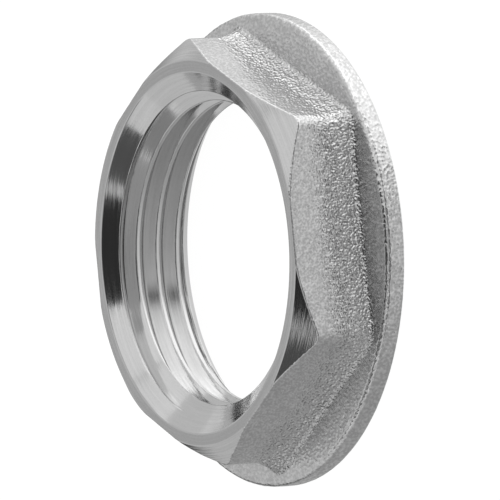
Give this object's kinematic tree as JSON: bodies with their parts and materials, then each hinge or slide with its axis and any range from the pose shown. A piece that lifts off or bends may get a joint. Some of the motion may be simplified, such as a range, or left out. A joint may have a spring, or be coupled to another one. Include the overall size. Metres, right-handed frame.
{
  "type": "flanged hexagon locknut",
  "caption": "Flanged hexagon locknut with a threaded bore, for holding a cable gland or conduit fitting in a panel.",
  "frame": {"origin": "centre of the flange's seat, on the axis of the bore", "axes": "+Z along the bore towards the turned front ring; two corners of the hexagon lie on X, so two of its flats face +Y and -Y"},
  "size_m": [0.0474, 0.0474, 0.0099],
  "materials": {
    "nickel_plate": "bright nickel plate, grainy as cast on the flats and the rim, turned on the front and in the bore"
  },
  "bodies": {
    "root": {"locknut": "nickel_plate"}
  },
  "joints": []
}
